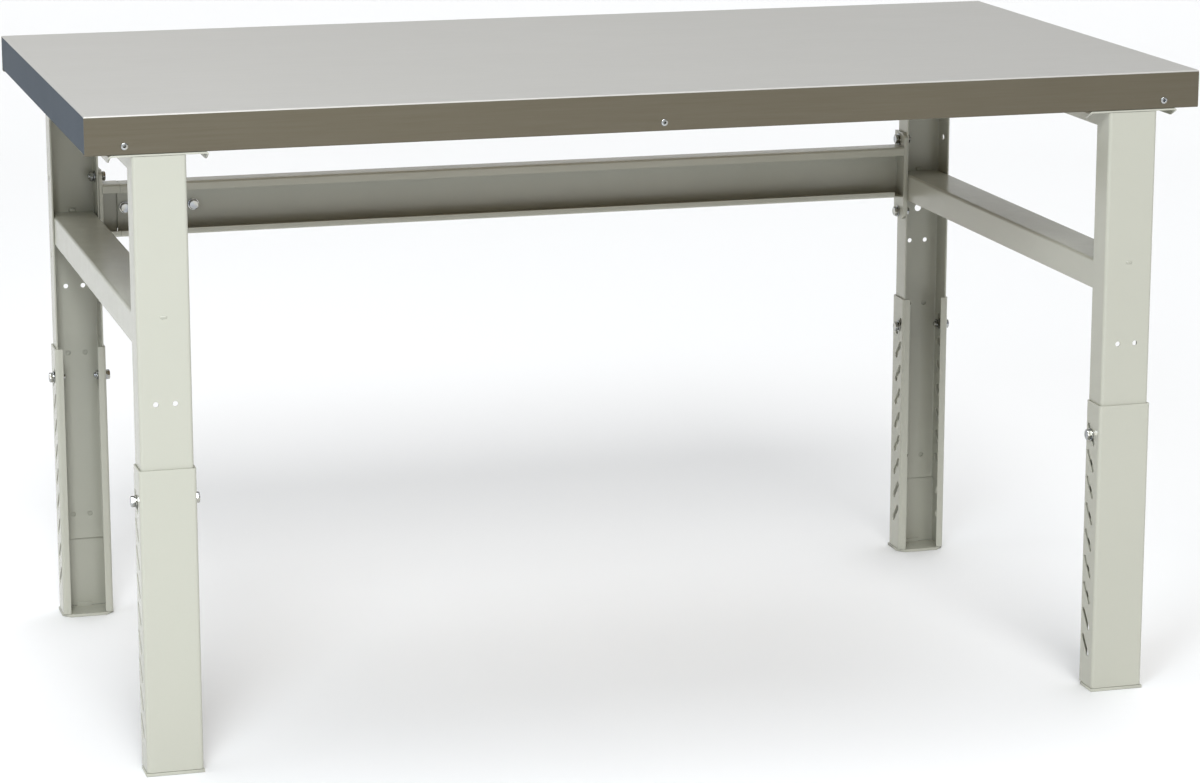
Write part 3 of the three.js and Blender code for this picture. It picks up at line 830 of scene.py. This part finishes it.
def add_bolt(bm, placing, shank_end):
    """A washer, a chamfered hexagon head with a dished top, and the shank."""
    add_washer(bm, placing)
    base = GAP + WASHER_HEIGHT
    top = base + HEAD_HEIGHT
    dish = top - 0.25 * MM
    add_rings(bm, [round_ring(ACROSS_FLATS * 0.47, base), hex_ring(ACROSS_FLATS, base + 0.35 * MM),
                   hex_ring(ACROSS_FLATS, top, 1), round_ring(ACROSS_FLATS * 0.472, top),
                   round_ring(ACROSS_FLATS * 0.36, top), round_ring(ACROSS_FLATS * 0.34, dish),
                   round_ring(ACROSS_FLATS * 0.05, dish)], placing)
    shank = THREAD_RADIUS - 0.1 * MM
    add_rings(bm, [round_ring(shank, base + 0.1 * MM), round_ring(shank, -shank_end)], placing)


def add_nut(bm, placing, thread_from, thread_to):
    """A washer, a nut with both ends chamfered, and the bolt's threaded end in it."""
    add_washer(bm, placing)
    base = GAP + WASHER_HEIGHT
    top = base + NUT_HEIGHT
    bore = THREAD_RADIUS + 0.05 * MM
    add_rings(bm, [round_ring(bore, base), round_ring(ACROSS_FLATS * 0.47, base),
                   hex_ring(ACROSS_FLATS, base, -1), hex_ring(ACROSS_FLATS, top, 1),
                   round_ring(ACROSS_FLATS * 0.47, top), round_ring(bore + 0.6 * MM, top),
                   round_ring(bore, top - 0.5 * MM)], placing, hollow=True)
    add_thread(bm, placing, thread_from, thread_to)


def seat(node, axis, way, reach):
    """Turns and moves a fastener drawn along +X to where its CAD node sits."""
    low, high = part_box(node)
    origin = (low + high) / 2
    origin[axis] = (high if way > 0 else low)[axis] - way * reach
    turn = (
        Matrix.Rotation(0 if way > 0 else math.pi, 4, "Z"),
        Matrix.Rotation(way * math.pi / 2, 4, "Z"),
        Matrix.Rotation(-way * math.pi / 2, 4, "Y"),
    )[axis]
    return Matrix.Translation(origin) @ turn


def make_clamps(end, side, zinc):
    body = f"leg_{end}_{side}"
    side_way = 1 if side == "right" else -1
    for face, way in (("outer", side_way), ("inner", -side_way)):
        node = f"clamp_bolt_{end}_{side}_{face}"
        bm = bmesh.new()
        add_bolt(bm, seat(node, 0, way, BOLT_REACH), CLAMP_BOLT_DEPTH)
        hand_over(object_from(bm, f"clamp_screw_{end}_{side}_{face}", zinc), body, "zinc", node)
        node = f"clamp_nut_{end}_{side}_{face}"
        bm = bmesh.new()
        add_nut(bm, seat(node, 0, -way, NUT_REACH), GAP, NUT_REACH + CLAMP_BOLT_END)
        hand_over(object_from(bm, f"clamp_hexnut_{end}_{side}_{face}", zinc), body, "zinc", node)


def make_beam_fasteners(zinc):
    for side, way in (("left", 1), ("right", -1)):
        for level in ("upper", "lower"):
            node = f"beam_bolt_{side}_{level}"
            bm = bmesh.new()
            add_bolt(bm, seat(node, 0, way, BOLT_REACH), BEAM_BOLT_DEPTH)
            hand_over(object_from(bm, f"beam_screw_{side}_{level}", zinc), "frame", "zinc", node)
            node = f"beam_nut_{side}_{level}"
            bm = bmesh.new()
            add_nut(bm, seat(node, 0, -way, NUT_REACH), GAP, NUT_REACH + BEAM_BOLT_END)
            hand_over(object_from(bm, f"beam_hexnut_{side}_{level}", zinc), "frame", "zinc", node)
    for number in (1, 2):
        node = f"tongue_bolt_{number}"
        bm = bmesh.new()
        add_bolt(bm, seat(node, 1, -1, BOLT_REACH), BEAM_BOLT_DEPTH)
        hand_over(object_from(bm, f"tongue_screw_{number}", zinc), "frame", "zinc", node)


def make_skirt_screws(zinc):
    """Button heads with a hexagon socket."""
    for place in ("left", "middle", "right"):
        node = f"skirt_screw_{place}"
        low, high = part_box(node)
        radius = (high.x - low.x) / 2
        rings = [round_ring(SKIRT_SHANK, -SKIRT_DEPTH), round_ring(SKIRT_SHANK, GAP)]
        for step in range(DOME_STEPS - 1):
            turn = math.pi / 2 * step / DOME_STEPS
            rings.append(round_ring(math.cos(turn) * radius, GAP + math.sin(turn) * SKIRT_DOME))
        rings += [hex_ring(SOCKET_FLATS, SOCKET_TOP), hex_ring(SOCKET_FLATS - 0.2 * MM, SOCKET_FLOOR),
                  round_ring(0.2 * MM, SOCKET_POINT)]
        bm = bmesh.new()
        add_rings(bm, rings, seat(node, 1, -1, SKIRT_HEAD))
        hand_over(object_from(bm, f"skirt_button_{place}", zinc), "frame", "zinc", node)


def make_fixing_screws(zinc):
    """Flanged hexagon heads under the supports, with plain shanks."""
    flats = FIXING_FLATS * 0.99
    rings = [round_ring(FIXING_SHANK, -FIXING_DEPTH), round_ring(FIXING_SHANK, GAP),
             round_ring(FIXING_FLANGE, GAP), round_ring(FIXING_FLANGE, FIXING_FLANGE_TOP),
             hex_ring(flats, FIXING_FLANGE_TOP + 0.3 * MM), hex_ring(flats, FIXING_HEAD, 1),
             round_ring(FIXING_FLATS * 0.46, FIXING_HEAD)]
    for number in range(1, FIXING_SCREW_COUNT + 1):
        node = f"fixing_screw_{number}"
        bm = bmesh.new()
        add_rings(bm, rings, seat(node, 2, -1, FIXING_HEAD))
        hand_over(object_from(bm, f"fixing_bolt_{number}", zinc), "frame", "zinc", node)


# Welds

def add_bead(bm, start, end, radius, seed):
    """A rippled bead between two points."""
    start, end = Vector(start), Vector(end)
    along = (end - start).normalized()
    side = along.orthogonal().normalized()
    up = along.cross(side)
    rings = max(BEAD_MIN_STEPS, int((end - start).length / BEAD_STEP))
    random_draw = random.Random(seed)
    previous = None
    for i in range(rings + 1):
        share = i / rings
        swell = 1 + 0.12 * math.sin(i * 1.9) + random_draw.uniform(-0.05, 0.05)
        taper = min(1.0, 0.35 + 6 * min(share, 1 - share))
        centre = start.lerp(end, share)
        ring = []
        for k in range(BEAD_SIDES):
            turn = 2 * math.pi * k / BEAD_SIDES
            arm = (side * math.cos(turn) + up * math.sin(turn)) * radius * swell * taper
            ring.append(bm.verts.new(centre + arm))
        if previous:
            for k in range(BEAD_SIDES):
                following = (k + 1) % BEAD_SIDES
                bm.faces.new((previous[k], previous[following], ring[following], ring[k]))
        else:
            bm.faces.new(ring[::-1])
        previous = ring
    bm.faces.new(previous)


def add_beam_beads(bm, x, low, high, seed):
    """The three beads at an end of the beam: over it, under it and up the inside of its web."""
    back = high.y - BEAM_BEAD_INSET
    inside = high.y - SLEEVE_WALL
    add_bead(bm, (x, low.y + BEAM_BEAD_INSET, high.z), (x, back, high.z), BEAM_BEAD, seed)
    add_bead(bm, (x, low.y + BEAM_BEAD_LIP_INSET, low.z), (x, back, low.z), BEAM_BEAD, seed + 1)
    bottom, top = low.z + WEB_BEAD_INSET, high.z - WEB_BEAD_INSET
    add_bead(bm, (x, inside, bottom), (x, inside, top), BEAM_BEAD, seed + 2)


def make_welds(weld):
    """The beads where the beam meets its plates, and where the side rails meet the legs."""
    bm = bmesh.new()
    beam_low, beam_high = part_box("rear_beam")
    plate_low, plate_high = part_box("beam_end_plate_right")
    bracket_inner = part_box("beam_bracket_left")[0].x + (plate_high.x - plate_low.x)
    add_beam_beads(bm, plate_low.x, beam_low, beam_high, 1)
    add_beam_beads(bm, bracket_inner, beam_low, beam_high, 4)
    seed = 10
    for side in ("left", "right"):
        low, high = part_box(f"side_rail_{side}")
        middle = (low.x + high.x) / 2
        height = high.z + RAIL_BEAD_LIFT
        for y in (low.y, high.y):
            start = (middle - RAIL_BEAD_HALF_LENGTH, y, height)
            end = (middle + RAIL_BEAD_HALF_LENGTH, y, height)
            add_bead(bm, start, end, RAIL_BEAD, seed)
            seed += 1
    hand_over(object_from(bm, "weld_beads", weld), "frame", "paint")


def main():
    make_camera()
    make_floor()
    make_light()
    paint = paint_material("powder_coat", PAINT)
    top_steel = steel_material("steel_top", TOP_STEEL, metallic=0.35, rough=0.36)
    # The skirt's material is a darker copy of the top's steel: painted shade and painted reflection
    shaded_skirt_steel = steel_material("steel_skirt_painted_shade", SHADED_SKIRT_STEEL, metallic=0.35, rough=0.36)
    # The end caps' material is a darker, bluer copy of the top's steel: painted shade with a painted blue
    # reflection
    shaded_end_steel = steel_material("steel_end_painted_shade", SHADED_END_STEEL, metallic=0.0, rough=0.55, specular=0.2)
    zinc = zinc_material()
    for end, side in CORNERS:
        make_upper_leg(end, side, paint)
        make_leg_extension(end, side, paint)
        make_foot(end, side, paint)
        make_clamps(end, side, zinc)
    for side in ("left", "right"):
        make_rail(f"side_rail_{side}", f"mid_rail_{side}", paint)
        make_rail(f"top_cross_rail_{side}", f"top_rail_{side}", paint)
        make_support(side, paint)
    make_beam(paint)
    make_end_plate(paint)
    make_left_bracket(paint)
    make_worktop(top_steel, shaded_skirt_steel, shaded_end_steel, board_material())
    make_beam_fasteners(zinc)
    make_skirt_screws(zinc)
    make_fixing_screws(zinc)
    make_welds(weld_material())


main()
